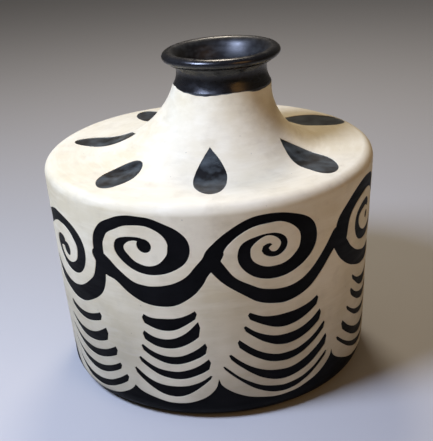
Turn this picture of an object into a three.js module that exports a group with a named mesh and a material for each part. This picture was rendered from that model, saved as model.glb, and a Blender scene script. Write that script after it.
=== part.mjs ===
// A wide drum-shaped clay pot with a nearly flat shoulder, a short leaning neck and a rolled lip.
// It is built as a potter builds it, from separately made clay sections that are luted together:
// a dished base, a drum wall, a shoulder slab, a flared neck, a collar and a rolled lip.
//
// Units are millimetres, +Z is up, and the origin is the centre of the base, on the resting plane.
import * as THREE from 'three';

// Driving dimensions
const BODY_R = 120; // greatest radius, at the top of the wall
const SHOULDER_Z = 164; // height of the flat top of the shoulder
const EDGE_R = 7.2; // rounding between the wall and the shoulder
const TAPER = 0.0488; // how fast the wall narrows downwards
const BOW = 0.0067; // how much faster it narrows towards the foot
const WALL = 7; // wall thickness of the drum and the slab
const NECK_WALL = 5.5; // wall thickness at the top of the neck
const LUTE_GAP = 0.3; // clearance at each luted joint

const REST_R = 98; // outer radius of the flat resting ring
const RECESS_R = 70; // radius of the shallow hollow under the base
const RECESS_DEPTH = 2.2;
const FOOT_EDGE_H = 14; // height of the rounded outer edge of the base
const FOOT_TOP_Z = 22; // joint between the base and the wall
const FLOOR_Z = 9.5; // inside floor of the pot

const SHOULDER_JOINT_Z = 150; // joint between the wall and the turned-down rim of the shoulder
const INNER_FILLET = 6; // rounding inside the shoulder's rim

const FLARE_R = 85.7; // where the neck starts to rise from the slab
const COLLAR_R = 35.2; // outer radius where the neck meets the collar
const COLLAR_H = 48; // height of that joint above the shoulder
const FLARE_JOINT = 0.36; // share of the way up the flare where the slab ends and the neck starts

const THROAT_R = 26.8; // narrowest inside radius
const LIP_R = 42.1; // outer radius of the rolled lip
const LIP_H = 72.7; // height of the lip's top above the shoulder
const LIP_HALF_W = 4.5; // half width of the rolled coil
const LIP_HALF_H = 3.5; // half height of the rolled coil

const LEAN = 12.8; // how far the mouth's centre stands off the base's centre, towards +X
const LEAN_POWER = 0.7; // most of the lean is at the bottom of the neck
const LIP_TILT = 0.018; // slope of the lip, in radians, with the +X side higher

const SEGMENTS = 60; // facets round each section

const paleSlip = new THREE.MeshStandardMaterial({ color: '#e4dccd', roughness: 0.78, metalness: 0 });
const blackClay = new THREE.MeshStandardMaterial({ color: '#1b1b1d', roughness: 0.36, metalness: 0 });

const point = (r, z) => new THREE.Vector2(r, z);

// Outer radius of the drum wall at a height.
function wallRadius(z) {
  const down = (SHOULDER_Z - EDGE_R - z) / BODY_R;
  return BODY_R * (1 - TAPER * down - BOW * down * down);
}

// Points on an elliptical arc, angles in degrees.
function arc(centreR, centreZ, halfW, halfH, from, to, steps) {
  const points = [];
  for (let i = 0; i <= steps; i += 1) {
    const angle = THREE.MathUtils.degToRad(from + ((to - from) * i) / steps);
    points.push(point(centreR + halfW * Math.cos(angle), centreZ + halfH * Math.sin(angle)));
  }
  return points;
}

// The flare of the neck, from the flat of the slab to the collar.
const flare = new THREE.CubicBezierCurve(
  point(FLARE_R, SHOULDER_Z),
  point(64.7, SHOULDER_Z),
  point(37.6, SHOULDER_Z + 24),
  point(COLLAR_R, SHOULDER_Z + COLLAR_H),
);

// The point under the flare's outer skin at the same share of the way up.
function flareInside(share) {
  const skin = flare.getPoint(share);
  const along = flare.getTangent(share);
  const thickness = THREE.MathUtils.lerp(WALL, NECK_WALL, share);
  return point(skin.x - thickness * along.y, skin.y + thickness * along.x);
}

function flareStretch(from, to, steps, at) {
  const points = [];
  for (let i = 0; i <= steps; i += 1) points.push(at(from + ((to - from) * i) / steps));
  return points;
}

// The neck leans to one side and the lip is a little out of level, as on a pot built by hand.
function settle(geometry) {
  const place = geometry.getAttribute('position');
  for (let i = 0; i < place.count; i += 1) {
    const x = place.getX(i);
    const z = place.getZ(i);
    const up = THREE.MathUtils.clamp((z - SHOULDER_Z) / COLLAR_H, 0, 1);
    const tilt = LIP_TILT * THREE.MathUtils.smoothstep(z - SHOULDER_Z, COLLAR_H, LIP_H - LIP_HALF_H);
    place.setX(i, x + LEAN * up ** LEAN_POWER);
    place.setZ(i, z + tilt * x);
  }
  geometry.computeVertexNormals();
  return geometry;
}

// Turns a profile about the pot's axis. An open profile starts and ends on the axis, and any other
// one is closed here.
function turned(name, profile, material) {
  const points = [...profile];
  const open = points[0].x === 0 && points[points.length - 1].x === 0;
  if (!open) points.push(points[0].clone());
  const geometry = new THREE.LatheGeometry(points, SEGMENTS);
  geometry.rotateX(Math.PI / 2);
  const mesh = new THREE.Mesh(settle(geometry), material);
  mesh.name = name;
  return mesh;
}

// The dished base: a flat resting ring round a shallow hollow, and a rounded, turned-up edge.
function footBase() {
  const outerR = wallRadius(FOOT_EDGE_H);
  const innerR = wallRadius(FOOT_TOP_Z) - WALL;
  const profile = [
    point(0, RECESS_DEPTH),
    point(RECESS_R - 4, RECESS_DEPTH),
    point(RECESS_R, 0),
    ...arc(REST_R, FOOT_EDGE_H, outerR - REST_R, FOOT_EDGE_H, -90, 0, 5),
    point(wallRadius(FOOT_TOP_Z), FOOT_TOP_Z),
    ...arc(innerR - 12, FOOT_TOP_Z, 12, FOOT_TOP_Z - FLOOR_Z, 0, -90, 4),
    point(0, FLOOR_Z),
  ];
  return turned('foot_base', profile, blackClay);
}

// The drum wall, a plain ring that widens upwards.
function bodyWall() {
  const bottom = FOOT_TOP_Z + LUTE_GAP;
  const top = SHOULDER_JOINT_Z - LUTE_GAP;
  const steps = 3;
  const outside = [];
  for (let i = 0; i <= steps; i += 1) {
    const z = bottom + ((top - bottom) * i) / steps;
    outside.push(point(wallRadius(z), z));
  }
  const inside = outside.map((p) => point(p.x - WALL, p.y)).reverse();
  return turned('body_wall', [...outside, ...inside], paleSlip);
}

// The slab that closes the drum, with its rim turned down onto the wall.
function shoulder() {
  const innerR = wallRadius(SHOULDER_JOINT_Z) - WALL;
  const profile = [
    point(wallRadius(SHOULDER_JOINT_Z), SHOULDER_JOINT_Z),
    ...arc(BODY_R - EDGE_R, SHOULDER_Z - EDGE_R, EDGE_R, EDGE_R, 0, 90, 5),
    ...flareStretch(0, FLARE_JOINT, 4, (share) => flare.getPoint(share)),
    ...flareStretch(FLARE_JOINT, 0, 3, flareInside),
    ...arc(innerR - INNER_FILLET, SHOULDER_Z - WALL - INNER_FILLET, INNER_FILLET, INNER_FILLET, 90, 0, 2),
    point(innerR, SHOULDER_JOINT_Z),
  ];
  return turned('shoulder', profile, paleSlip);
}

// The flared neck.
function neck() {
  const start = FLARE_JOINT + LUTE_GAP / flare.getLength();
  const profile = [
    ...flareStretch(start, 1, 7, (share) => flare.getPoint(share)),
    ...flareStretch(1, start, 6, flareInside),
  ];
  return turned('neck', profile, paleSlip);
}

// The collar, drawn in to the throat and opened again under the lip.
function collar() {
  const at = (r, h) => point(r, SHOULDER_Z + h);
  const outside = new THREE.SplineCurve([
    at(COLLAR_R, COLLAR_H + LUTE_GAP),
    at(33, 53),
    at(32.2, 58.5),
    at(34.4, 64),
  ]);
  const inside = new THREE.SplineCurve([
    at(29.8, 66),
    at(27.4, 62),
    at(THROAT_R, 57),
    at(flareInside(1).x, COLLAR_H + LUTE_GAP),
  ]);
  return turned('collar', [...outside.getPoints(6), ...inside.getPoints(5)], blackClay);
}

// The thick coil rolled outwards round the mouth, with a sloping inner face that leads to the throat.
function lipRoll() {
  const centreR = LIP_R - LIP_HALF_W;
  const centreZ = SHOULDER_Z + LIP_H - LIP_HALF_H;
  const profile = [
    point(34.4, SHOULDER_Z + 64 + LUTE_GAP),
    ...arc(centreR, centreZ, LIP_HALF_W, LIP_HALF_H, -75, 110, 8),
    point(32.4, SHOULDER_Z + 69.6),
    point(29.8, SHOULDER_Z + 66 + LUTE_GAP),
  ];
  return turned('lip_roll', profile, blackClay);
}

const pot = new THREE.Group();
pot.add(footBase(), bodyWall(), shoulder(), neck(), collar(), lipRoll());

export default pot;
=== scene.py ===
# %% [markdown]
# # A hand-built pot of black clay under a coat of pale slip
#
# The pot is a broad drum with a nearly flat shoulder, a short neck that leans a little, and a
# rolled lip. The clay is fired in smoke, which turns it black all through. Before firing, the
# potter rubs it with a smooth stone, so that the bare clay takes a soft gloss, and paints a coat
# of cream slip over the drum, the shoulder and the neck. The figures are the places that the
# slip leaves open: there the black clay shows.
#
# This script follows the same order. It turns the clay sections on an axis, cuts the figures out
# of a flat sheet of slip, and wraps the sheet round the pot.

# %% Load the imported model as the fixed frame
import math

import bmesh
import bpy
from mathutils import Matrix, Vector, noise
from mathutils.geometry import interpolate_bezier


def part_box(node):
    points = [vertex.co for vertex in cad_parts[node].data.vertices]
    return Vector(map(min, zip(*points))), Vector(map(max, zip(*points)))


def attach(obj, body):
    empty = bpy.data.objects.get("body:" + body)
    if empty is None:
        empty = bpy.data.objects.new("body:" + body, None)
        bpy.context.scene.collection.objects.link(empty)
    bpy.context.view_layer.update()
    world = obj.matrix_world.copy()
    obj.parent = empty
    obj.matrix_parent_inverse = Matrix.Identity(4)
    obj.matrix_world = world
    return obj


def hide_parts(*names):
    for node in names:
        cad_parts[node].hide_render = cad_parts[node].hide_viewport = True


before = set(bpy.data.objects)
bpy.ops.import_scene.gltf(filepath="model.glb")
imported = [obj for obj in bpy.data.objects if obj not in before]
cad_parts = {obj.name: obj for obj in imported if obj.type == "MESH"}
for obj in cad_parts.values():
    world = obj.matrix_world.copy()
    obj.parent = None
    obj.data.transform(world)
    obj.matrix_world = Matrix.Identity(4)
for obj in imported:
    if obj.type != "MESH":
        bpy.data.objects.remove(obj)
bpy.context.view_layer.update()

MM = 0.001  # the frame is in metres, and the potter's sizes here are in millimetres
print("clay sections:", sorted(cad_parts))

# %% [markdown]
# ## Sizes taken from the frame
#
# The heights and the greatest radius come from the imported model, so the fine surface lies where the
# plain one does. The slip is about a third of a millimetre thick, and its outside is the
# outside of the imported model, so the clay under it stands back by that much.

# %% Sizes in millimetres
def edge_of(node, corner, axis):
    """One coordinate of a clay section's box: corner 0 is the lowest and corner 1 the highest."""
    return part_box(node)[corner][axis] / MM


LUTE_GAP = 0.3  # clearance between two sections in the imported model
DRUM_R = edge_of("shoulder", 1, 0)
FOOT_TOP = edge_of("foot_base", 1, 2)
RIM_JOINT = edge_of("shoulder", 0, 2)
NECK_H = 48.0  # rise of the neck from the flat of the shoulder to the collar
SHOULDER = edge_of("collar", 0, 2) - LUTE_GAP - NECK_H

EDGE_R = 7.2  # rounding between drum and shoulder
TAPER = 0.0488  # how fast the drum narrows downwards
BOW = 0.0067
WALL = 7.0
NECK_WALL = 5.5
INNER_FILLET = 6.0
REST_R = 98.0  # outer radius of the flat ring that the pot stands on
RECESS_R = 70.0
RECESS_DEPTH = 2.2
FOOT_EDGE_H = 14.0
FLOOR = 9.5

FLARE_R = 85.7  # where the shoulder turns up into the neck
COLLAR_R = 35.2
THROAT_R = 26.8
LIP_R = 42.1
LIP_H = 72.7
LIP_HALF_W = 4.5
LIP_HALF_H = 3.5
COLLAR_TOP = (34.6, 64.2)  # radius, and height above the shoulder, where the lip's coil begins
MOUTH_STEP = (29.8, 66.0)  # the same for where the coil ends inside the mouth

LEAN = 12.8  # sideways offset of the mouth
LEAN_POWER = 0.7
LIP_TILT = 0.018

SLIP = 0.35  # thickness of the pale coat
print("drum radius", round(DRUM_R, 2), "shoulder height", round(SHOULDER, 2))

# %% [markdown]
# ## The outline of the pot
#
# One curve runs down the outside from the lip to the foot. Places on it are given by the distance
# along it, counted from the joint between collar and neck, because slip, brush marks and painted
# figures follow the surface and not the height.

# %% The outside curve and its measure
def drum_radius(z):
    down = (SHOULDER - EDGE_R - z) / DRUM_R
    return DRUM_R * (1 - TAPER * down - BOW * down * down)


def arc(centre_r, centre_z, half_w, half_h, start, stop, steps):
    """Points on an elliptical arc, with angles in degrees."""
    turns = [math.radians(start + (stop - start) * i / steps) for i in range(steps + 1)]
    return [Vector((centre_r + half_w * math.cos(a), centre_z + half_h * math.sin(a))) for a in turns]


def bezier(corners, count):
    return [Vector(p[:2]) for p in interpolate_bezier(*[Vector((*c, 0)) for c in corners], count)]


COLLAR_OUTSIDE = [
    (COLLAR_TOP[0], SHOULDER + COLLAR_TOP[1]),
    (31.4, SHOULDER + 59.6),
    (32.0, SHOULDER + 54),
    (COLLAR_R, SHOULDER + NECK_H),
]
FLARE = [
    (COLLAR_R, SHOULDER + NECK_H),
    (37.6, SHOULDER + 24),
    (64.7, SHOULDER),
    (FLARE_R, SHOULDER),
]
COLLAR_POINTS = 40
FLARE_POINTS = 160
CORNER_POINTS = 30
DRUM_POINTS = 60


def drum_side():
    drop = SHOULDER - EDGE_R - FOOT_EDGE_H
    heights = [SHOULDER - EDGE_R - drop * i / DRUM_POINTS for i in range(DRUM_POINTS + 1)]
    return [Vector((drum_radius(z), z)) for z in heights]


def foot_corner():
    outer = drum_radius(FOOT_EDGE_H) - REST_R
    return arc(REST_R, FOOT_EDGE_H, outer, FOOT_EDGE_H, 0, -90, 24)


CORNER = arc(DRUM_R - EDGE_R, SHOULDER - EDGE_R, EDGE_R, EDGE_R, 90, 0, CORNER_POINTS)
OUTSIDE = bezier(COLLAR_OUTSIDE, COLLAR_POINTS) + bezier(FLARE, FLARE_POINTS)[1:]
FLARE_LAST = len(OUTSIDE) - 1
OUTSIDE += CORNER
CORNER_LAST = len(OUTSIDE) - 1
OUTSIDE += drum_side()[1:] + foot_corner()[1:]

MEASURE = [0.0]
for near, far in zip(OUTSIDE, OUTSIDE[1:]):
    MEASURE.append(MEASURE[-1] + (far - near).length)
COLLAR_LENGTH = MEASURE[COLLAR_POINTS - 1]
MEASURE = [m - COLLAR_LENGTH for m in MEASURE]
FLARE_END = MEASURE[FLARE_LAST]
FLAT_END = MEASURE[FLARE_LAST + 1]
CORNER_END = MEASURE[CORNER_LAST]


def direction(index):
    """Smoothed direction of the outside curve at one of its points."""
    before = OUTSIDE[max(index - 1, 0)]
    after = OUTSIDE[min(index + 1, len(OUTSIDE) - 1)]
    return (after - before).normalized()


def skin(along, depth=0.0):
    """Radius and height at a distance along the outside, set back into the wall by a depth."""
    low, high = 0, len(MEASURE) - 1
    while high - low > 1:
        middle = (low + high) // 2
        if MEASURE[middle] <= along:
            low = middle
        else:
            high = middle
    share = (along - MEASURE[low]) / (MEASURE[high] - MEASURE[low])
    step = direction(low).lerp(direction(high), share)
    outward = Vector((-step.y, step.x)).normalized()
    return OUTSIDE[low].lerp(OUTSIDE[high], share) - outward * depth


def below_shoulder(depth):
    """Distance along the outside of a place on the drum, from its depth below the shoulder."""
    return CORNER_END + depth - EDGE_R


def along_at_height(z):
    return below_shoulder(SHOULDER - z)


print("distances along the outside: flare", round(FLARE_END, 1), "flat", round(FLAT_END, 1),
      "corner", round(CORNER_END, 1), "all", round(MEASURE[-1], 1))

# %% [markdown]
# ## How the pot settled
#
# The sections are turned true and then settled: the neck leans, the lip is a little out of level,
# and the walls keep the slight unevenness that coils and fingers leave. The same small
# displacement moves every piece, slip and clay alike, so nothing that touches comes apart.

# %% Settling
UNEVEN = 0.9  # mm, broad unevenness of a coiled wall
UNEVEN_LENGTH = 75.0
FINGER = 0.16  # mm, smaller dents left by fingers and the rubbing stone
FINGER_LENGTH = 17.0
STILL_BELOW = 2  # mm above the ground, where the resting ring stays flat
FREE_ABOVE = 30
noise.seed_set(11)  # without a seed of its own, vector noise starts from the clock


def smooth_step(value, low, high):
    share = min(max((value - low) / (high - low), 0), 1)
    return share * share * (3 - 2 * share)


def settled(place):
    """Where a point of the true-turned pot, in millimetres, ends up, in metres."""
    up = min(max((place.z - SHOULDER) / NECK_H, 0), 1)
    tilt = LIP_TILT * smooth_step(place.z - SHOULDER, NECK_H, LIP_H - LIP_HALF_H)
    moved = Vector((place.x + LEAN * up**LEAN_POWER, place.y, place.z + tilt * place.x))
    free = smooth_step(place.z, STILL_BELOW, FREE_ABOVE)
    broad = noise.noise_vector(place / UNEVEN_LENGTH) * UNEVEN
    dents = noise.noise_vector(place / FINGER_LENGTH) * FINGER
    return (moved + (broad + dents) * free) * MM


mouth = settled(Vector((0, 0, SHOULDER + LIP_H))) / MM
print("middle of the mouth settles at", [round(c, 1) for c in mouth])

# %% [markdown]
# ## Turning the clay sections
#
# Each section starts as its cross-section, a closed loop of edges, which Spin turns once round the
# axis. Spin is the right tool for anything made on a turntable: one outline gives the whole ring,
# and use_merge welds the last step to the first. The vertices then settle, and edges sharper than
# 35 degrees are marked so that the smooth shading doesn't smear round them.
#
# Each vertex also keeps a number, "rubbed", which says how well the stone burnished it: 1 on the
# outside, and 0 inside and underneath, where the clay stayed dull.

# %% Spin a section
TURN_STEPS = 180
SHARP_ANGLE = math.radians(35)


def keep_mesh(bm, name, body="root"):
    """Turn a finished bmesh into an object that rides on the body."""
    mesh = bpy.data.meshes.new(name)
    bm.to_mesh(mesh)
    bm.free()
    for polygon in mesh.polygons:
        polygon.use_smooth = True
    piece = bpy.data.objects.new(name, mesh)
    bpy.context.scene.collection.objects.link(piece)
    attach(piece, body)
    triangles = sum(len(p.vertices) - 2 for p in mesh.polygons)
    print(f"{name}: {triangles} triangles")
    return piece


def mark_sharp(bm, angle=SHARP_ANGLE):
    for edge in bm.edges:
        edge.smooth = len(edge.link_faces) == 2 and edge.calc_face_angle(0) < angle


def turn_section(name, outline, rubbed, on_axis=False):
    """Spin an outline of (radius, height) points. rubbed has one value for each point."""
    bm = bmesh.new()
    burnish = bm.verts.layers.float.new("rubbed")
    verts = []
    for spot, shine in zip(outline, rubbed):
        vert = bm.verts.new((spot.x, 0, spot.y))
        vert[burnish] = shine
        verts.append(vert)
    edges = [bm.edges.new(pair) for pair in zip(verts, verts[1:])]
    if not on_axis:
        edges.append(bm.edges.new((verts[-1], verts[0])))
    bmesh.ops.spin(
        bm,
        geom=verts + edges,
        cent=(0, 0, 0),
        axis=(0, 0, 1),
        angle=math.tau,
        steps=TURN_STEPS,
        use_merge=True,
    )
    bmesh.ops.remove_doubles(bm, verts=bm.verts, dist=0.001)
    bmesh.ops.recalc_face_normals(bm, faces=bm.faces)
    for vert in bm.verts:
        vert.co = settled(vert.co)
    mark_sharp(bm)
    return keep_mesh(bm, name)


def outside_stretch(start, stop, depth, spacing=2.0):
    """Points of the outside curve between two distances along it."""
    count = max(2, math.ceil(abs(stop - start) / spacing))
    return [skin(start + (stop - start) * i / count, depth) for i in range(count + 1)]


def under(points, start_depth, stop_depth):
    """The inner face of a wall: the same points again, set back by the wall's thickness."""
    inner = []
    for i, spot in enumerate(points):
        before = points[max(i - 1, 0)]
        after = points[min(i + 1, len(points) - 1)]
        step = (after - before).normalized()
        depth = start_depth + (stop_depth - start_depth) * i / (len(points) - 1)
        inner.append(spot - Vector((-step.y, step.x)) * depth)
    return inner


def shine(outside, inside):
    return [1.0] * len(outside) + [0.0] * len(inside)


# %% [markdown]
# The base is one open outline that starts and ends on the axis: a shallow hollow under the middle,
# the flat ring that it stands on, a rounded and turned-up edge, and the floor inside. The
# foot's outside is the strip of bare clay that shows below the slip. The drum is a plain ring, and
# the slab and the neck are turned in one, because bare clay crosses their joint in the drops.

# %% Base, drum and top
RECESS_SLOPE = 3  # width of the slope from the resting ring up into the hollow
FLOOR_ROUND = 12  # rounding between the wall and the floor inside
UNRUBBED = 4  # mm above the ground that the stone doesn't reach


def make_base():
    rise = outside_stretch(along_at_height(FOOT_TOP), along_at_height(FOOT_EDGE_H), SLIP)
    edge = [spot + (spot - Vector((REST_R, 0))).normalized() * -SLIP * (spot.y / FOOT_EDGE_H)
            for spot in foot_corner()[1:]]
    outside = rise + edge + arc(RECESS_R, RECESS_DEPTH, RECESS_SLOPE, RECESS_DEPTH, -90, -180, 6)
    inner_r = drum_radius(FOOT_TOP) - WALL
    inside = arc(inner_r - FLOOR_ROUND, FOOT_TOP, FLOOR_ROUND, FOOT_TOP - FLOOR, 0, -90, 10)
    inside.append(Vector((0, FLOOR)))
    outline = [Vector((0, RECESS_DEPTH))] + outside[::-1] + inside
    rubbed = [0.0] + [min(1.0, spot.y / UNRUBBED) for spot in outside[::-1]] + [0.0] * len(inside)
    return turn_section("clay_base", outline, rubbed, on_axis=True)


RIM_SPLIT = SHOULDER - 5  # the slab's rim meets the drum under the slip, above the waves


def make_drum():
    outside = outside_stretch(along_at_height(RIM_SPLIT), along_at_height(FOOT_TOP), SLIP)
    below = [spot for spot in outside if spot.y < RIM_JOINT]
    inside = [Vector((spot.x - WALL, spot.y)) for spot in below[::4] + below[-1:]][::-1]
    inside.append(Vector((drum_radius(RIM_JOINT) - WALL, RIM_SPLIT - WALL)))
    return turn_section("clay_drum", outside + inside, shine(outside, inside))


def make_top():
    outside = outside_stretch(0, along_at_height(RIM_SPLIT), SLIP, 1.3)
    inner_r = drum_radius(RIM_JOINT) - WALL
    fillet_z = SHOULDER - WALL - INNER_FILLET
    inside = arc(inner_r - INNER_FILLET, fillet_z, INNER_FILLET, INNER_FILLET, 0, 90, 6)
    flare = bezier(FLARE, FLARE_POINTS)
    inside += under(flare[::6] + flare[-1:], NECK_WALL, WALL)[::-1]
    return turn_section("clay_top", outside + inside, shine(outside, inside))


clay_base = make_base()
clay_drum = make_drum()
clay_top = make_top()

# %% [markdown]
# The collar is drawn in to the narrowest part of the mouth and opens again under the lip. It is
# left free of slip and is rubbed the longest, so it is the glossiest part of the pot. The lip is a
# coil rolled outwards, with a fine groove where it was pressed onto the collar.

# %% Collar and lip
THROAT_POINTS = 16
THROAT_RUBBED = 0.5  # the stone reached half-heartedly into the mouth


def make_collar():
    outside = outside_stretch(-COLLAR_LENGTH, 0, SLIP, 1.0)
    flare_inside = under(bezier(FLARE, FLARE_POINTS)[:3], NECK_WALL, NECK_WALL)[0]
    inside = bezier(
        [
            (flare_inside.x, SHOULDER + NECK_H),
            (THROAT_R - 0.4, SHOULDER + 54),
            (THROAT_R - 1.2, SHOULDER + 59),
            (MOUTH_STEP[0], SHOULDER + MOUTH_STEP[1]),
        ],
        THROAT_POINTS,
    )
    rising = [THROAT_RUBBED * i / (THROAT_POINTS - 1) for i in range(THROAT_POINTS)]
    rubbed = [1.0] * len(outside) + rising
    return turn_section("clay_collar", outside + inside, rubbed)


def make_lip():
    centre_r = LIP_R - LIP_HALF_W
    centre_z = SHOULDER + LIP_H - LIP_HALF_H
    roll = arc(centre_r, centre_z, LIP_HALF_W, LIP_HALF_H, -72, 96, 24)
    bead = arc(36.0, SHOULDER + 64.9, 1.5, 1.1, -120, 40, 8)
    inside = bezier(
        [
            roll[-1],
            (34.6, SHOULDER + 72.6),
            (31.6, SHOULDER + 70.2),
            (MOUTH_STEP[0], SHOULDER + MOUTH_STEP[1]),
        ],
        10,
    )[1:]
    start = Vector((COLLAR_TOP[0] - SLIP, SHOULDER + COLLAR_TOP[1]))
    outline = [start] + bead + roll + inside
    rubbed = [1.0] * (1 + len(bead) + len(roll)) + [0.8 - 0.03 * i for i in range(len(inside))]
    return turn_section("clay_lip", outline, rubbed)


collar = make_collar()
lip = make_lip()

# %% [markdown]
# ## The figures, as the potter's brush lays them out
#
# The coat is worked flat, like a paper pattern. Across the sheet is the distance round the drum
# from its front, positive to the right, and down the sheet is the distance along the outside. The
# figures are a ring of nine waves: each is a long arm that comes from its left neighbour, climbs,
# and curls inwards to an eye, with a heavy band under it that feeds the next arm. Below each wave
# hang five sickle-shaped strokes, and the coat ends below them in a scallop.
#
# Every wave was drawn freehand, and no two match. So each design keeps its own stations: places
# that the brush passed through, each with half of the stroke's width there.

# %% Designs of the waves, in millimetres round the drum and below the shoulder
ROUND = math.tau * DRUM_R

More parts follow.
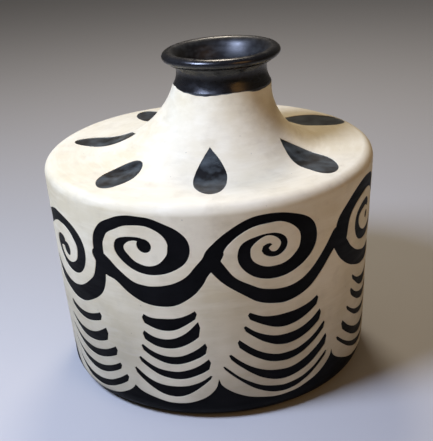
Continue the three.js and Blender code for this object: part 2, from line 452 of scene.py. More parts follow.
WAVES = {
    "low": dict(
        left=-172, right=-76, cusps=(-155, -66), foot=157, middle=50, eye=(-126.2, 51, 5.2),
        arm=[(-174, 52, 4.5), (-171.5, 44, 5), (-164.5, 38.8, 5.4), (-157, 35.5, 5.2),
             (-149.5, 32, 4.9), (-141, 29.2, 4.6), (-133, 28.7, 4.2), (-124, 29.2, 4.1),
             (-116.5, 31.3, 4.6), (-111, 34.7, 5.2), (-106.5, 39.8, 5.6), (-104.8, 46, 5.2),
             (-106.3, 53.3, 5), (-110, 58.8, 4.6), (-115.8, 62.4, 4.1), (-122.7, 63.6, 3.3),
             (-129, 62.8, 2.9), (-134.8, 60, 2.9), (-139.3, 55.5, 3.4), (-140.6, 51, 4),
             (-138.6, 47.8, 4.5), (-135.2, 46.4, 4.6), (-131, 46.8, 4.4), (-127.5, 48.5, 4)],
        band=[(-174, 48, 5), (-170, 58, 4.8), (-162, 66.5, 4.4), (-152, 72.5, 4.2), (-143, 77, 4.6),
              (-133.5, 80, 4.6), (-123, 81.6, 5.2), (-113, 80.9, 5.9), (-105, 78, 6),
              (-97.3, 73.4, 6.5), (-90.8, 67.8, 6.4), (-87, 61, 5.7), (-85, 53, 4.7),
              (-84, 45, 4.6), (-84.3, 37, 4.8), (-84.2, 32, 4.4)],
        sickles=[[(-134, 94.5, 2.3), (-117, 98.5, 3), (-91, 92, 2.7)],
                 [(-138, 106, 1.5), (-115, 113.5, 3.2), (-86, 104, 4.3)],
                 [(-143, 115, 1.5), (-112, 126, 3), (-79, 116, 3.1)],
                 [(-147, 124, 1.2), (-110, 138.5, 3), (-75.5, 127, 2.3)],
                 [(-151, 133, 0.8), (-106, 150.3, 2.8), (-71, 136, 2.4)]],
    ),
    "blunt": dict(
        left=-76, right=-1, cusps=(-66, 0), foot=150.5, middle=30, eye=(-46.3, 29.4, 5.2),
        arm=[(-84.2, 48, 4), (-84.4, 38, 4.9), (-83.3, 31, 4.7), (-80.5, 25.8, 4.4),
             (-76, 20.7, 4.1), (-67.7, 16.3, 3.8), (-59.8, 13, 3.8), (-50, 11.6, 3.4),
             (-41.2, 12.3, 3.3), (-32.8, 16, 4), (-26.2, 21, 5.6), (-22.6, 28, 7.4), (-24, 35.7, 7),
             (-29.3, 41.5, 5.3), (-36.8, 45.8, 3.8), (-46, 47.3, 3.4), (-55, 45, 3.5),
             (-61, 40.8, 3.9), (-65, 35.5, 4.2), (-64.4, 30.4, 3.7), (-60, 26.9, 2.3),
             (-54.5, 25.1, 1.6), (-49.5, 25.2, 1.7), (-45.5, 27, 2.2)],
        band=[(-88, 38, 4.5), (-85, 44, 6), (-78.5, 50.5, 7), (-70.2, 55.2, 4.9), (-60, 62, 5.4),
              (-50, 65.4, 6.6), (-40, 66.2, 7.5), (-30, 64.6, 7.9), (-20, 59.6, 7.1),
              (-13, 53.3, 6.2), (-8.5, 47, 5.4), (-3.5, 41, 5.6), (1.5, 34, 5.8), (5, 29, 4.5)],
        sickles=[[(-53.5, 83.5, 3.2), (-35, 87.2, 4.8), (-12.8, 78, 2.6)],
                 [(-54.3, 96.3, 3), (-34, 102, 3.8), (-11, 88.5, 4.3)],
                 [(-56.5, 106.5, 2), (-33, 115.2, 3.2), (-6.3, 103.5, 3.4)],
                 [(-59.5, 116.5, 1.8), (-31, 127.3, 3.2), (-3.8, 115.8, 3.4)],
                 [(-64.5, 126.5, 1.9), (-33, 141, 4.6), (-4, 127, 1.1)]],
    ),
    "wide": dict(
        left=-1, right=92, cusps=(0, 95), foot=150.5, middle=34.5, eye=None,
        arm=[(-2.5, 45, 5), (-0.6, 37, 6.1), (3.6, 29.8, 4.8), (8.1, 25, 4.1), (13.6, 20.8, 3.7),
             (20.3, 16.6, 3.6), (27, 14.2, 3.5), (36, 13.1, 3.4), (45, 13.5, 3.2),
             (52.4, 15.3, 3.5), (59.4, 18.8, 4.4), (65.1, 23.7, 5.8), (67.9, 29.4, 6.7),
             (67.8, 35.8, 7), (65.2, 41.7, 6.4), (59.7, 47.1, 5.5), (53.3, 50.7, 5),
             (45.6, 52.7, 4.9), (37.5, 52.4, 4.7), (30.3, 50.2, 4.5), (24.6, 46.2, 4.5),
             (21.3, 41, 4.6), (20.8, 36, 4.4), (22, 31.6, 3.9), (24.8, 28.8, 2.9), (28.3, 26.8, 2),
             (33, 25, 1.2), (37.5, 24.5, 0.9), (42.5, 25.5, 1.3), (47.2, 28.2, 1.9),
             (49.2, 32, 2.5), (47.8, 36.1, 2.5), (43.9, 39, 2), (39.3, 38.8, 2.1),
             (36.2, 36.6, 2.7), (35.6, 34.2, 2.9), (38, 32.3, 1.6), (41.3, 32.2, 0.8)],
        band=[(-2.6, 36, 5.6), (1.6, 44, 5), (9.8, 54.2, 4), (19.5, 61.3, 4.2), (30.6, 68, 5),
              (42, 71, 5.6), (52, 71.4, 5.7), (62.5, 68.7, 5.4), (72, 62.8, 5), (81, 54, 4.7),
              (88, 46.5, 5), (94, 40, 5.8), (99, 34, 5)],
        sickles=[[(22, 82.3, 2.3), (52, 91, 5.2), (79.3, 81.3, 2.9)],
                 [(19, 91.5, 1.6), (52, 106.2, 4.1), (81.8, 93.5, 3.4)],
                 [(14.3, 102.5, 2.4), (50, 120, 3.2), (85.7, 103.7, 2.2)],
                 [(8, 112, 1.5), (50, 133.7, 4), (89, 115.5, 3.4)],
                 [(3.5, 120.5, 0.9), (48, 145.2, 2.7), (89.5, 128, 1.5)]],
    ),
    "open": dict(
        left=92, right=190, cusps=(95, 190), foot=151, middle=41, eye=(142.5, 41.5, 3.2),
        arm=[(99, 53, 6), (100.5, 44, 7.4), (101.6, 34, 8), (105.2, 28.4, 6.9), (110, 24.1, 5.8),
             (115.4, 20.7, 5.7), (121, 18.2, 5.7), (127.3, 16.5, 5.7), (135, 15.5, 5.3),
             (142, 16, 5.1), (149, 17.5, 5), (156, 20.8, 5.3), (162, 26, 6), (166, 33, 7),
             (167, 41, 7), (164, 48, 6.2), (158, 53, 5), (150, 55.7, 4), (143, 56, 3.6),
             (136, 55, 3.6), (128.5, 51.5, 4.2), (124, 46.5, 4.1), (122.5, 41.4, 3.9),
             (124, 35.8, 3.6), (129, 32.5, 3.3), (135, 31.2, 3.2), (140.5, 31, 3.1),
             (145.3, 33.3, 2.8), (146, 37.5, 2.4)],
        band=[(94, 39, 6), (98, 46.5, 6.5), (104, 54, 6.8), (110.5, 60.5, 6.5), (117.7, 65.4, 5.9),
              (126, 69.5, 5.6), (134, 72.3, 5.5), (142, 74.2, 5.4), (150, 75, 5.5), (159, 74, 6),
              (167, 69.5, 6), (176, 60, 5.5), (184, 47, 5), (190, 38, 4.5)],
        sickles=[[(119, 81.5, 1.3), (147, 94.5, 4), (175, 82, 2.4)],
                 [(117, 92, 2), (147, 106.5, 3.4), (178, 93, 3)],
                 [(112, 103, 1.3), (147, 118.5, 2.8), (181, 104, 2.3)],
                 [(106, 114, 2.6), (146, 133.5, 3.6), (185, 115, 3)],
                 [(100, 122.5, 1.2), (145, 144, 2.7), (188, 127, 1.3)]],
    ),
}

# The ring of waves: design, left and right end of the band, and height of the curl's centre.
RING = [("low", -172, -76, 50), ("blunt", -76, -1, 30), ("wide", -1, 92, 34.5), ("open", 92, 190, 41)]
# Cusps of the scalloped hem: (across, depth), and the depth that each scallop sinks to.
CUSPS = [(-155, 133), (-66, 139), (0, 130), (95, 129), (190, 131)]
HEM_DEPTHS = [157, 150.5, 150.5, 151]
# Waves of the back: design, height of the curl's centre, and depth of the scallop.
BACK_WAVES = [("wide", 41, 151), ("blunt", 42, 152), ("open", 44, 151), ("wide", 46, 153),
              ("blunt", 48, 154)]
back_pitch = (ROUND + RING[0][1] - 190) / len(BACK_WAVES)
back_cusp_pitch = (ROUND + CUSPS[0][0] - 190) / len(BACK_WAVES)
for place, (design, middle, hem) in enumerate(BACK_WAVES):
    RING.append((design, 190 + place * back_pitch, 190 + (place + 1) * back_pitch, middle))
    CUSPS.append((190 + (place + 1) * back_cusp_pitch, 134 - place % 2 * 2))
    HEM_DEPTHS.append(hem)
print("waves in the ring:", len(RING), "back waves are", round(back_pitch, 1), "mm long")

# %% [markdown]
# ## Brush strokes
#
# A stroke is a row of stations: a place on the sheet and half the brush's width there. A smooth
# curve through them gives the edges, both ends are rounded, and a little noise keeps the edges as
# unsteady as a hand. create_grid makes the strip that the edges are laid on, and extruding it
# gives a cutter as solid as a pastry knife.

# %% Smooth rows and cutters
TREMBLE = 0.28  # mm that the brush's edge wanders
TREMBLE_LENGTH = 9.0
ROUNDED = 0.9  # length of a stroke's rounded end, as a share of its half width
BLUNT = 0.35  # the same for the sickles, whose ends are hardly rounded
STATION_SPACING = 1.6
FINE_STEPS = 24  # points tried between two given stations
THINNEST = 0.12


def smooth_row(rows, position):
    """Values at a fractional position in a list of rows, on a smooth curve through all of them."""
    position = min(max(position, 0), len(rows) - 1)
    index = min(int(position), len(rows) - 2)
    share = position - index
    before = rows[max(index - 1, 0)]
    start, stop = rows[index], rows[index + 1]
    after = rows[min(index + 2, len(rows) - 1)]
    values = []
    for p0, p1, p2, p3 in zip(before, start, stop, after):
        bend = (2 * p0 - 5 * p1 + 4 * p2 - p3) * share**2 + (3 * p1 - p0 - 3 * p2 + p3) * share**3
        values.append(p1 + 0.5 * ((p2 - p0) * share + bend))
    return values


def stations(rows):
    """Stations at an even spacing along a smooth curve through a few given ones."""
    count = FINE_STEPS * (len(rows) - 1)
    fine = [smooth_row(rows, i / FINE_STEPS) for i in range(count + 1)]
    kept = [fine[0]]
    for row in fine[1:]:
        if math.dist(row[:2], kept[-1][:2]) >= STATION_SPACING:
            kept.append(row)
    return kept


def tremble(across, along, side):
    return noise.noise(Vector((across, along, side * 40)) / TREMBLE_LENGTH) * TREMBLE


def round_ends(row, roundness=ROUNDED):
    """Half widths with both ends of the stroke rounded off, over a share of their width."""
    gone = [0.0]
    for a, b in zip(row, row[1:]):
        gone.append(gone[-1] + math.dist(a[:2], b[:2]))
    rounded = []
    for (across, along, half), run in zip(row, gone):
        for end_half, from_end in ((row[0][2], run), (row[-1][2], gone[-1] - run)):
            reach = max(end_half * roundness, 0.4)
            if from_end < reach:
                half *= math.sqrt(1 - (1 - from_end / reach) ** 2)
        rounded.append((across, along, max(half, THINNEST)))
    return rounded


def edges_of(row, upright=False):
    """Both edges of a stroke, as pairs of places. An upright pen leaves the ends plumb."""
    pairs = []
    for i, (across, along, half) in enumerate(row):
        before = row[max(i - 1, 0)]
        after = row[min(i + 1, len(row) - 1)]
        run = Vector((after[0] - before[0], after[1] - before[1])).normalized()
        if upright:
            half /= abs(run.x)
            run = Vector((1, 0))
        left = half + tremble(across, along, 1)
        right = half + tremble(across, along, -1)
        pairs.append(((across + run.y * left, along - run.x * left),
                      (across - run.y * right, along + run.x * right)))
    return pairs


CUT_ABOVE = 1.0  # how far the blades stand above the sheet of slip
CUT_BELOW = 3.0  # and below its upper face


def faces_on(verts):
    """The faces that use any of these points, each once and in a steady order."""
    return list(dict.fromkeys(face for vert in verts for face in vert.link_faces))


def deepen(cutter, top):
    """Turn the flat faces on these points into a closed blade whose faces look outward."""
    raised = bmesh.ops.extrude_face_region(cutter, geom=faces_on(top))
    down = [v for v in raised["geom"] if isinstance(v, bmesh.types.BMVert)]
    bmesh.ops.translate(cutter, verts=down, vec=(0, 0, -CUT_ABOVE - CUT_BELOW))
    whole = faces_on([*top, *down])
    bmesh.ops.recalc_face_normals(cutter, faces=whole)
    if sum(face.normal.z * face.calc_area() for face in faces_on(top)) < 0:
        bmesh.ops.reverse_faces(cutter, faces=whole)


def lay_strip(cutter, pairs, shift=0.0):
    """Add a closed blade to the cutter bmesh, between two edges given as pairs of places."""
    made = bmesh.ops.create_grid(cutter, x_segments=len(pairs) - 1, y_segments=1, size=1)
    verts = sorted(made["verts"], key=lambda v: (round(v.co.x, 5), v.co.y))
    for i, (upper, lower) in enumerate(pairs):
        verts[2 * i].co = (upper[0] + shift, -upper[1], CUT_ABOVE)
        verts[2 * i + 1].co = (lower[0] + shift, -lower[1], CUT_ABOVE)
    deepen(cutter, verts)


def lay_round(cutter, across, along, radius, shift=0.0):
    """Add a round blade to the cutter bmesh."""
    centre = Matrix.Translation((across + shift, -along, CUT_ABOVE))
    made = bmesh.ops.create_circle(cutter, cap_ends=True, radius=radius, segments=28, matrix=centre)
    for vert in made["verts"]:
        outward = vert.co - centre.translation
        vert.co += outward.normalized() * tremble(vert.co.x, vert.co.y, 1)
    deepen(cutter, made["verts"])


print("stations on the first wave's arm:", len(stations(WAVES["low"]["arm"])))

# %% [markdown]
# A design is moved along the ring by stretching it between its new ends and by squeezing it
# upwards from its foot, so the waves at the back differ from the ones they are taken from.

# %% Waves, sickles and drops
def placed(design, drawn, laid, middle):
    """A function that moves places from the stretch a design is drawn on to another stretch."""
    stretch = (laid[1] - laid[0]) / (drawn[1] - drawn[0])
    squeeze = (design["foot"] - middle) / (design["foot"] - design["middle"])

    def move(row):
        return [(laid[0] + (across - drawn[0]) * stretch,
                 below_shoulder(design["foot"] - (design["foot"] - depth) * squeeze),
                 half * min(1, stretch * 1.05)) for across, depth, half in row]

    return move


def sickle(ends_and_middle):
    """Stations of a hanging stroke: a parabola through its two ends and its lowest part."""
    (x0, y0, w0), (x1, y1, w1), (x2, y2, w2) = ends_and_middle
    rows = []
    for i in range(9):
        x = x0 + (x2 - x0) * i / 8
        a = (x - x1) * (x - x2) / ((x0 - x1) * (x0 - x2))
        b = (x - x0) * (x - x2) / ((x1 - x0) * (x1 - x2))
        c = (x - x0) * (x - x1) / ((x2 - x0) * (x2 - x1))
        half = w0 + (w1 - w0) * smooth_step(x, x0, x1) + (w2 - w1) * smooth_step(x, x1, x2)
        rows.append((x, a * y0 + b * y1 + c * y2, half))
    return rows


SHIFTS = (-ROUND, 0.0, ROUND)  # a figure that crosses the sheet's ends is cut at both


def near_sheet(pairs, shift):
    return any(abs(edge[0] + shift) < ROUND / 2 + 2 for pair in pairs for edge in pair)


def lay_everywhere(cutter, pairs):
    for shift in SHIFTS:
        if near_sheet(pairs, shift):
            lay_strip(cutter, pairs, shift)


def wave_cutters():
    """Cutters for the waves, in groups whose blades don't touch each other."""
    names = ("arms", "eyes", "bands_a", "bands_b", "bands_c", "sickles")
    groups = {name: bmesh.new() for name in names}
    for number, (name, left, right, middle) in enumerate(RING):
        design = WAVES[name]
        move = placed(design, (design["left"], design["right"]), (left, right), middle)
        hang = placed(design, design["cusps"], (CUSPS[number][0], CUSPS[number + 1][0]), middle)
        lay_everywhere(groups["arms"], edges_of(round_ends(stations(move(design["arm"])))))
        band_group = "bands_c" if number == len(RING) - 1 else ("bands_a", "bands_b")[number % 2]
        lay_everywhere(groups[band_group], edges_of(round_ends(stations(move(design["band"])))))
        for stroke in design["sickles"]:
            row = stations(hang(sickle(stroke)))
            lay_everywhere(groups["sickles"], edges_of(round_ends(row, BLUNT), upright=True))
        if design["eye"]:
            ((across, along, radius),) = move([design["eye"]])
            for shift in SHIFTS:
                lay_round(groups["eyes"], across, along, radius, shift)
    return groups


# Drops on the shoulder: bearing in degrees and distance along the outside at the tip and at the
# round end, greatest half width, where along the drop that is, how far the drop bends to the
# right, and how blunt its tip is, from 1 for a sharp one.
DROPS = [
    (-4, 37, 1, 89, 11.3, 0.58, 1.8, 1),
    (55.5, 41, 50.5, 98, 14.5, 0.56, 8.5, 1),
    (-50.5, 54, -43, 94.3, 12, 0.46, -1, 0.45),
    (-92, 43, -108, 93, 14, 0.62, -10, 1),
    (135, 65, 109.5, 100.5, 14.5, 0.55, 0, 1),
    (-149, 62, -153, 99, 11, 0.58, 0, 1),
    (160, 45, 166, 96, 11.5, 0.58, 2, 1),
]
DROP_STEPS = 36
DROP_THINNEST = 0.15


def drop_cutter():
    cutter = bmesh.new()
    for tip_bearing, tip, end_bearing, end, widest, fullest, bend, sharp in DROPS:
        pairs = []
        for i in range(DROP_STEPS + 1):
            share = 0.5 - 0.5 * math.cos(math.pi * i / DROP_STEPS)
            along = tip + (end - tip) * share
            radius = skin(along).x
            bearing = tip_bearing + (end_bearing - tip_bearing) * share
            run = Vector((math.radians(end_bearing - tip_bearing) * radius, end - tip)).normalized()
            if share < fullest:
                half = widest * math.sin(math.pi / 2 * share / fullest) ** sharp
            else:
                half = widest * math.sqrt(max(0, 1 - ((share - fullest) / (1 - fullest)) ** 2))
            half = max(half, DROP_THINNEST)
            sideways = bend * math.sin(math.pi * share)
            across = math.radians(bearing) * DRUM_R
            edge = []
            for offset in (sideways + half + tremble(bearing, along, 1),
                           sideways - half - tremble(bearing, along, -1)):
                edge.append((across + run.y * offset * DRUM_R / radius, along - run.x * offset))
            pairs.append(tuple(edge))
        lay_strip(cutter, pairs[::-1])
    return cutter


print("drops round the neck:", len(DROPS))

# %% [markdown]
# The coat's two borders are cut the same way. The hem is a row of scallops that meet in cusps, and
# the upper border wavers a little where the brush ran round the collar.

# %% Hem and upper border
SHEET_TOP = -4.0  # distance along the outside where the sheet of slip starts
SHEET_FOOT = below_shoulder(160)
PAST_SHEET = 6.0  # how far the two border blades run past the sheet
HEM_STEPS = 500
NECK_STEPS = 260
STRAY = 0.5  # mm that a border strays
HEM_WAVES = 9
NECK_WAVES = 7
# Height of the coat's upper border above the shoulder, by bearing in degrees
COLLAR_BORDER = [(-180, 47.5), (-140, 48.6), (-110, 47.2), (-75, 49.1), (-50, 47.4), (-20, 46.1),
                 (5, 47.5), (25, 47.8), (45, 46.2), (80, 46.8), (120, 48.4), (150, 46.8), (180, 47.5)]


def hem_depth(across):
    first = CUSPS[0][0]
    across = (across - first) % ROUND + first
    for (start, depth), (stop, next_depth), sunk in zip(CUSPS, CUSPS[1:], HEM_DEPTHS):
        if across <= stop:
            share = (across - start) / (stop - start)
            cusp = depth + (next_depth - depth) * share
            return cusp + (sunk - cusp) * math.sqrt(math.sin(math.pi * share))
    return CUSPS[0][1]


def wander(across, waves):
    """How far a border strays from its line, the same after a full turn."""
    bearing = across / DRUM_R
    return noise.noise(Vector((math.cos(bearing), math.sin(bearing), 0)) * waves) * STRAY


def hem_cutter():
    cutter = bmesh.new()
    pairs = []
    for i in range(-6, HEM_STEPS + 7):
        across = ROUND * (i / HEM_STEPS - 0.5)
        border = below_shoulder(hem_depth(across)) + wander(across, HEM_WAVES)
        pairs.append(((across, border), (across, SHEET_FOOT + PAST_SHEET)))
    lay_strip(cutter, pairs)
    return cutter


def border_cutter():
    cutter = bmesh.new()
    pairs = []
    for i in range(-4, NECK_STEPS + 5):
        across = ROUND * (i / NECK_STEPS - 0.5)
        bearing = (math.degrees(across / DRUM_R) + 180) % 360 - 180
        number = next(n for n in range(len(COLLAR_BORDER) - 1) if bearing <= COLLAR_BORDER[n + 1][0])
        start, stop = COLLAR_BORDER[number], COLLAR_BORDER[number + 1]
        height = start[1] + (stop[1] - start[1]) * smooth_step(bearing, start[0], stop[0])
        border = NECK_H - height + wander(across, NECK_WAVES)
        pairs.append(((across, SHEET_TOP - PAST_SHEET), (across, border)))
    lay_strip(cutter, pairs)
    return cutter


print("the sheet of slip is", round(ROUND), "by", round(SHEET_FOOT - SHEET_TOP), "mm")

# %% [markdown]
# ## Cutting the coat and wrapping it
#
# The sheet is a grid from create_grid, finer where it will bend most, extruded to a slab. A
# Boolean modifier takes each group of blades away. Only the upper faces are kept: they are the
# coat's outside. Each vertex is then carried to the pot by its two distances, the sheet's ends are
# welded, and an extrusion towards the clay gives the coat its thickness and its cut edges.

# %% Cut
ACROSS_CELLS = 240
ROW_PLAN = [(0, SHEET_TOP), (30, FLARE_END), (38, FLAT_END), (51, CORNER_END), (98, SHEET_FOOT)]
SLAB = 1.0  # thickness of the flat sheet while it is cut


def row_distance(row):
    for (first, start), (last, stop) in zip(ROW_PLAN, ROW_PLAN[1:]):
        if row <= last:
            return start + (stop - start) * (row - first) / (last - first)
    return ROW_PLAN[-1][1]


def make_sheet():
    bm = bmesh.new()
    rows = ROW_PLAN[-1][0]
    bmesh.ops.create_grid(bm, x_segments=ACROSS_CELLS, y_segments=rows, size=1)
    for vert in bm.verts:
        along = row_distance((1 - vert.co.y) / 2 * rows)
        vert.co = (vert.co.x * ROUND / 2, -along, 0)
    raised = bmesh.ops.extrude_face_region(bm, geom=bm.faces[:])
    down = [v for v in raised["geom"] if isinstance(v, bmesh.types.BMVert)]
    bmesh.ops.translate(bm, verts=down, vec=(0, 0, -SLAB))
    bmesh.ops.recalc_face_normals(bm, faces=bm.faces)
    return bm


def loose_object(bm, name):
    mesh = bpy.data.meshes.new(name)
    bm.to_mesh(mesh)
    bm.free()
    helper = bpy.data.objects.new(name, mesh)
    bpy.context.scene.collection.objects.link(helper)
    return helper


def cut_sheet(sheet_bm, cutters):
    sheet = loose_object(sheet_bm, "sheet_of_slip")
    helpers = []
    for name, cutter in cutters.items():
        blade = loose_object(cutter, name)
        modifier = sheet.modifiers.new(name, "BOOLEAN")
        modifier.operation = "DIFFERENCE"
        modifier.solver = "MANIFOLD"
        modifier.object = blade
        helpers.append(blade)
    bpy.context.view_layer.update()
    finished = sheet.evaluated_get(bpy.context.evaluated_depsgraph_get())
    cut = bmesh.new()
    cut.from_mesh(finished.to_mesh())
    for helper in helpers + [sheet]:
        mesh = helper.data
        bpy.data.objects.remove(helper)
        bpy.data.meshes.remove(mesh)
    return cut


cutters = wave_cutters()
cutters["drops"] = drop_cutter()
cutters["hem"] = hem_cutter()
cutters["border"] = border_cutter()
cut = cut_sheet(make_sheet(), cutters)
unwanted = [f for f in cut.faces if f.normal.z < 0.5]
bmesh.ops.delete(cut, geom=unwanted, context="FACES")
covered = sum(f.calc_area() for f in cut.faces) / (ROUND * (SHEET_FOOT - SHEET_TOP))
print("share of the sheet that stays:", round(covered, 3), "faces", len(cut.faces))

# %% Wrap
COAT_DEPTH = 0.6  # from the outside of the coat to its hidden side, a little inside the clay
WELD = 0.02  # mm, closer points become one


def wrap(across, along, depth):
    spot = skin(along, depth)
    bearing = across / DRUM_R
    return Vector((spot.x * math.sin(bearing), -spot.x * math.cos(bearing), spot.y))


def make_coat(bm):
    across_layer = bm.verts.layers.float.new("across")
    along_layer = bm.verts.layers.float.new("along")
    for vert in bm.verts:
        vert[across_layer] = vert.co.x
        vert[along_layer] = -vert.co.y
        vert.co = wrap(vert.co.x, -vert.co.y, 0)
    bmesh.ops.remove_doubles(bm, verts=bm.verts, dist=WELD)
    raised = bmesh.ops.extrude_face_region(bm, geom=bm.faces[:])
    for vert in raised["geom"]:
        if isinstance(vert, bmesh.types.BMVert):
            vert.co = wrap(vert[across_layer], vert[along_layer], COAT_DEPTH)
    for vert in bm.verts:
        vert.co = settled(vert.co)
    bmesh.ops.recalc_face_normals(bm, faces=bm.faces)
    mark_sharp(bm)
    return keep_mesh(bm, "slip_coat")


slip_coat = make_coat(cut)
open_edges = bmesh.new()
open_edges.from_mesh(slip_coat.data)
print("open edges in the coat:", sum(not e.is_manifold for e in open_edges.edges))
open_edges.free()

# %% [markdown]
# ## Materials
#
# The pot has one slip and one clay, and the clay is left in three states of rubbing. All are built
# from nodes whose patterns have real sizes. The brush and the rubbing stone both went round the
# pot, so their marks are read from "worked", an attribute that holds each point's place on the
# pot's skin: bearing wound round a cylinder, and distance along the outside as its height. A
# pattern on it is drawn out sideways by scaling it.

# %% Colours, nodes and the attribute that follows the surface
def colour(hex_code):
    """An sRGB hex colour as linear red, green, blue and alpha."""
    parts = [int(hex_code[i : i + 2], 16) / 255 for i in (1, 3, 5)]
    linear = [c / 12.92 if c <= 0.04045 else ((c + 0.055) / 1.055) ** 2.4 for c in parts]
    return (*linear, 1.0)


def add(material, kind, inputs=None, **settings):
    """Add a node. An input is given a value, or another node's output socket to link from."""
    tree = material.node_tree
    node = tree.nodes.new(kind)
    for name, value in settings.items():
        setattr(node, name, value)
    for name, value in (inputs or {}).items():
        socket = node.inputs[name]
        if isinstance(value, bpy.types.NodeSocket):
            tree.links.new(value, socket)
        else:
            socket.default_value = value
    return node


def per_mm(size):
    """Scale of a pattern whose features are a size in millimetres, on coordinates in metres."""
    return 1 / (size * MM)


def new_material(name):
    material = bpy.data.materials.new(name)
    material.use_nodes = True
    material.node_tree.nodes.clear()
    return material


def store_worked(piece):
    """Write each point's place on the pot's skin, in metres, for patterns that follow it."""
    worked = piece.data.attributes.new("worked", "FLOAT_VECTOR", "POINT")
    across = piece.data.attributes.get("across")
    along = piece.data.attributes.get("along")
    radius = DRUM_R * MM
    for i, vert in enumerate(piece.data.vertices):
        if across:
            bearing = across.data[i].value / DRUM_R
            run = along.data[i].value * MM
        else:
            bearing = math.atan2(vert.co.x, -vert.co.y)
            run = -vert.co.z
        worked.data[i].vector = (radius * math.sin(bearing), -radius * math.cos(bearing), -run)


print("one part in grey #808080 is", round(colour("#808080")[0], 3), "as linear light")

# %% [markdown]
# The slip is a fine pale clay, brushed on in several coats and left matt. Up close it isn't one
# colour: it is thinner and warmer along some brush strokes, smoke has greyed it in patches, and
# coarse grains and pinholes show as specks. Lower down the drum it is darkened in clouds, which is
# painted shade for the light that falls off downwards. Its sheen is very low, so its roughness
# stays near 0.75, and the brush's ridges and a fine grain go into the bump.

# %% Brushed kaolin slip
def make_slip():
    slip = new_material("brushed_kaolin_slip")
    worked = add(slip, "ShaderNodeAttribute", attribute_name="worked").outputs["Vector"]
    place = add(slip, "ShaderNodeTexCoord").outputs["Object"]
    strokes_at = add(slip, "ShaderNodeMapping", {"Vector": worked, "Scale": (0.16, 0.16, 1.0)})
    strokes = add(slip, "ShaderNodeTexNoise", {
        "Vector": strokes_at.outputs["Vector"], "Scale": per_mm(5), "Detail": 4.0, "Roughness": 0.6})
    clouds = add(slip, "ShaderNodeTexNoise", {
        "Vector": place, "Scale": per_mm(60), "Detail": 3.0, "Roughness": 0.55})
    patches = add(slip, "ShaderNodeTexNoise", {
        "Vector": place, "Scale": per_mm(14), "Detail": 4.0, "Roughness": 0.6})
    grain = add(slip, "ShaderNodeTexNoise", {
        "Vector": place, "Scale": per_mm(0.9), "Detail": 2.0, "Roughness": 0.6})
    pores = add(slip, "ShaderNodeTexVoronoi", {"Vector": place, "Scale": per_mm(11), "Randomness": 1.0})

    clouds_share = add(slip, "ShaderNodeMapRange", {
        "Value": clouds.outputs["Fac"], "From Min": 0.35, "From Max": 0.68})
    body = add(slip, "ShaderNodeMix", {
        "Factor": clouds_share.outputs["Result"], "A": colour("#e6dbbd"), "B": colour("#d8c9a3")},
        data_type="RGBA")
    patch_share = add(slip, "ShaderNodeMapRange", {
        "Value": patches.outputs["Fac"], "From Min": 0.5, "From Max": 0.78, "To Max": 0.55})
    smoked = add(slip, "ShaderNodeMix", {
        "Factor": patch_share.outputs["Result"], "A": body.outputs["Result"], "B": colour("#c7ba9b")},
        data_type="RGBA")
    stroke_share = add(slip, "ShaderNodeMapRange", {
        "Value": strokes.outputs["Fac"], "From Min": 0.45, "From Max": 0.75, "To Max": 0.5})
    brushed = add(slip, "ShaderNodeMix", {
        "Factor": stroke_share.outputs["Result"], "A": smoked.outputs["Result"], "B": colour("#eee4c8")},
        data_type="RGBA")
    # Painted shade: lower down the drum the coat is mixed in clouds towards grey-brown, a darkening that
    # stands for the light falling off downwards.
    down_the_wall = add(slip, "ShaderNodeSeparateXYZ", {"Vector": worked}).outputs["Z"]
    low = add(slip, "ShaderNodeMapRange", {
        "Value": down_the_wall, "From Min": -0.15, "From Max": -0.265, "To Max": 1.1})
    patchy_low_shade = add(slip, "ShaderNodeMath", {0: low.outputs["Result"], 1: clouds.outputs["Fac"]},
                operation="MULTIPLY")
    shaded_low_wall = add(slip, "ShaderNodeMix", {
        "Factor": patchy_low_shade.outputs["Value"], "A": brushed.outputs["Result"], "B": colour("#8d877a")},
        data_type="RGBA")
    pore_share = add(slip, "ShaderNodeMapRange", {
        "Value": pores.outputs["Distance"], "From Min": 0.02, "From Max": 0.045,
        "To Min": 0.55, "To Max": 0.0})
    speckled = add(slip, "ShaderNodeMix", {
        "Factor": pore_share.outputs["Result"], "A": shaded_low_wall.outputs["Result"], "B": colour("#5d554c")},
        data_type="RGBA")

    gloss = add(slip, "ShaderNodeMapRange", {
        "Value": strokes.outputs["Fac"], "From Min": 0.3, "From Max": 0.7, "To Min": 0.82, "To Max": 0.64})
    ridges = add(slip, "ShaderNodeBump", {
        "Strength": 0.5, "Distance": 0.16 * MM, "Height": strokes.outputs["Fac"]})
    rough_skin = add(slip, "ShaderNodeBump", {
        "Strength": 0.45, "Distance": 0.07 * MM, "Height": grain.outputs["Fac"],
        "Normal": ridges.outputs["Normal"]})
    shader = add(slip, "ShaderNodeBsdfPrincipled", {
        "Base Color": speckled.outputs["Result"], "Roughness": gloss.outputs["Result"],
        "IOR": 1.5, "Specular IOR Level": 0.35, "Normal": rough_skin.outputs["Normal"]})
    add(slip, "ShaderNodeOutputMaterial", {"Surface": shader.outputs["BSDF"]})
    return slip


pale_slip = make_slip()
print(pale_slip.name, "has", len(pale_slip.node_tree.nodes), "nodes")
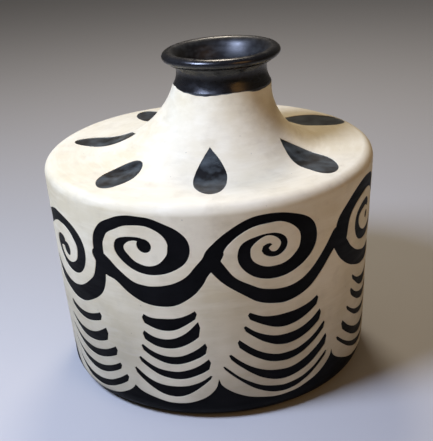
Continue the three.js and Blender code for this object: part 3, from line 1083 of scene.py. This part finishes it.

# %% [markdown]
# The clay itself is black from smoke and gets its gloss only from rubbing, so the gloss follows
# the stone: long narrow facets run round the pot, some mirror-like and some duller. Clouds of a
# lighter shade lie over it. On the drops they are a much lighter grey, which is partly the clay's
# graphite tone and partly painted sheen. Inside and underneath, where "rubbed" is 0, the same clay
# is a dull black with grey finger streaks and a sandy grain. The collar and the lip were rubbed
# longest, the drops less, and the figures on the wall and the foot hardly at all.

# %% Burnished black clay
def make_black_clay(name, shades, cloud, dullest, glossiest, specular):
    """Black clay with clouds of a size in mm, rubbed to a roughness between two values."""
    clay = new_material(name)
    worked = add(clay, "ShaderNodeAttribute", attribute_name="worked").outputs["Vector"]
    rubbed = add(clay, "ShaderNodeAttribute", attribute_name="rubbed").outputs["Fac"]
    place = add(clay, "ShaderNodeTexCoord").outputs["Object"]
    facets_at = add(clay, "ShaderNodeMapping", {"Vector": worked, "Scale": (0.14, 0.14, 1.0)})
    facets = add(clay, "ShaderNodeTexNoise", {
        "Vector": facets_at.outputs["Vector"], "Scale": per_mm(3.2), "Detail": 3.0, "Roughness": 0.55})
    clouds = add(clay, "ShaderNodeTexNoise", {
        "Vector": place, "Scale": per_mm(cloud), "Detail": 4.0, "Roughness": 0.6})
    sand = add(clay, "ShaderNodeTexNoise", {
        "Vector": place, "Scale": per_mm(0.8), "Detail": 3.0, "Roughness": 0.65})

    cloud_share = add(clay, "ShaderNodeMapRange", {
        "Value": clouds.outputs["Fac"], "From Min": 0.4, "From Max": 0.7})
    polished = add(clay, "ShaderNodeMix", {
        "Factor": cloud_share.outputs["Result"], "A": colour(shades[0]), "B": colour(shades[1])},
        data_type="RGBA")
    streak_share = add(clay, "ShaderNodeMapRange", {
        "Value": facets.outputs["Fac"], "From Min": 0.4, "From Max": 0.72})
    dull = add(clay, "ShaderNodeMix", {
        "Factor": streak_share.outputs["Result"], "A": colour("#0b0b0b"), "B": colour("#393b39")},
        data_type="RGBA")
    body = add(clay, "ShaderNodeMix", {
        "Factor": rubbed, "A": dull.outputs["Result"], "B": polished.outputs["Result"]},
        data_type="RGBA")
    stone_gloss = add(clay, "ShaderNodeMapRange", {
        "Value": facets.outputs["Fac"], "From Min": 0.3, "From Max": 0.7,
        "To Min": glossiest, "To Max": dullest})
    gloss = add(clay, "ShaderNodeMix", {
        "Factor": rubbed, "A": 0.62, "B": stone_gloss.outputs["Result"]}, data_type="FLOAT")
    strokes = add(clay, "ShaderNodeBump", {
        "Strength": 0.35, "Distance": 0.12 * MM, "Height": facets.outputs["Fac"]})
    dull_share = add(clay, "ShaderNodeMapRange", {"Value": rubbed, "To Min": 0.8, "To Max": 0.12})
    grain = add(clay, "ShaderNodeBump", {
        "Strength": dull_share.outputs["Result"], "Distance": 0.12 * MM,
        "Height": sand.outputs["Fac"], "Normal": strokes.outputs["Normal"]})
    shader = add(clay, "ShaderNodeBsdfPrincipled", {
        "Base Color": body.outputs["Result"], "Roughness": gloss.outputs["Result"],
        "IOR": 1.5, "Specular IOR Level": specular, "Normal": grain.outputs["Normal"]})
    add(clay, "ShaderNodeOutputMaterial", {"Surface": shader.outputs["BSDF"]})
    return clay


# Collar and lip: deep black with a mirror-like stone polish and bright lines along the edges.
polished_clay = make_black_clay(
    "polished_black_clay", ("#0b0b0d", "#1a1a1b"), cloud=35, dullest=0.36, glossiest=0.17, specular=0.5)
# The drops: black with small streaky clouds of light grey, partly the clay's graphite tone and partly
# painted sheen, and a soft sheen from the stone.
graphite_and_sheen_clay = make_black_clay(
    "graphite_sheen_black_clay", ("#0c0c0e", "#4b5150"), cloud=11, dullest=0.44, glossiest=0.26, specular=0.6)
# The figures on the wall and the foot: an even, soot-like black with hardly any sheen.
matt_clay = make_black_clay(
    "matt_black_clay", ("#050506", "#111112"), cloud=35, dullest=0.66, glossiest=0.5, specular=0.07)
for clay in (polished_clay, graphite_and_sheen_clay, matt_clay):
    print(clay.name, "has", len(clay.node_tree.nodes), "nodes")

# %% [markdown]
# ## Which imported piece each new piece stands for
#
# The coat lies over three sections, so it and the clay under it together replace those.

# %% Finish the pieces
STANDS_FOR = [
    (clay_base, matt_clay, "black_clay", ["foot_base"]),
    (clay_drum, matt_clay, "black_clay", ["body_wall", "shoulder"]),
    (clay_top, graphite_and_sheen_clay, "black_clay", ["shoulder", "neck"]),
    (collar, polished_clay, "black_clay", ["collar"]),
    (lip, polished_clay, "black_clay", ["lip_roll"]),
    (slip_coat, pale_slip, "pale_slip", ["body_wall", "shoulder", "neck"]),
]
for piece, material, slot, sections in STANDS_FOR:
    store_worked(piece)
    piece.data.materials.append(material)
    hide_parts(*sections)

# %% [markdown]
# ## Floor, light and camera
#
# A flat pale floor, three metres across, lies under the pot. One soft light, slightly blue, stands
# high and close at the left front, so that the light falls off across the drum. A weak warm one
# fills from the right, and one above and behind gives the drops on the shoulder their sheen. The
# camera looks down at the pot with a long lens and leans a little, like a camera held by hand.

# %% Floor
def make_floor():
    bm = bmesh.new()
    bmesh.ops.create_grid(bm, x_segments=1, y_segments=1, size=3.0)
    mesh = bpy.data.meshes.new("pale_floor")
    bm.to_mesh(mesh)
    bm.free()
    floor = bpy.data.objects.new("pale_floor", mesh)
    bpy.context.scene.collection.objects.link(floor)
    paper = new_material("pale_paper")
    shader = add(paper, "ShaderNodeBsdfPrincipled", {"Base Color": colour("#bbb9b4"), "Roughness": 0.9})
    add(paper, "ShaderNodeOutputMaterial", {"Surface": shader.outputs["BSDF"]})
    mesh.materials.append(paper)


def make_light(name, place, aim, size, power, hex_code):
    light = bpy.data.lights.new(name, "AREA")
    light.shape = "DISK"
    light.size = size
    light.energy = power
    light.color = colour(hex_code)[:3]
    lamp = bpy.data.objects.new(name, light)
    lamp.location = place
    lamp.rotation_euler = (Vector(aim) - Vector(place)).to_track_quat("-Z", "Y").to_euler()
    bpy.context.scene.collection.objects.link(lamp)


make_floor()
make_light("key_light", (-0.42, -0.3, 0.72), (0, 0, 0.12), 0.28, 10.4, "#c9d8ff")
make_light("fill_light", (0.75, -0.9, 0.7), (0, 0, 0.1), 0.7, 1.8, "#ffbc66")
make_light("back_light", (0, 0.65, 1.1), (0, 0, 0.15), 0.28, 5.5, "#fff2e0")
world = bpy.data.worlds.new("soft_room")
world.use_nodes = True
world.node_tree.nodes["Background"].inputs["Color"].default_value = colour("#f1e8da")
world.node_tree.nodes["Background"].inputs["Strength"].default_value = 0.1
bpy.context.scene.world = world
bpy.context.scene.view_settings.view_transform = "Standard"  # keeps the black deep

# %% Camera
CAMERA_RIGHT = 3.5
CAMERA_BACK = 716.5
CAMERA_RISE = 236.3  # above the shoulder
PITCH = 0.3918  # radians below level
ROLL = 0.0527
camera_data = bpy.data.cameras.new("camera")
camera_data.sensor_width = 36
camera_data.lens = 83.64
camera = bpy.data.objects.new("camera", camera_data)
level = Matrix.Rotation(math.pi / 2 - PITCH, 4, "X")
camera.matrix_world = (
    Matrix.Translation(Vector((CAMERA_RIGHT, -CAMERA_BACK, SHOULDER + CAMERA_RISE)) * MM)
    @ level
    @ Matrix.Rotation(-ROLL, 4, "Z")
)
bpy.context.scene.collection.objects.link(camera)
bpy.context.scene.camera = camera
print("camera stands", round(camera.matrix_world.translation.length, 2), "m from the pot's foot")
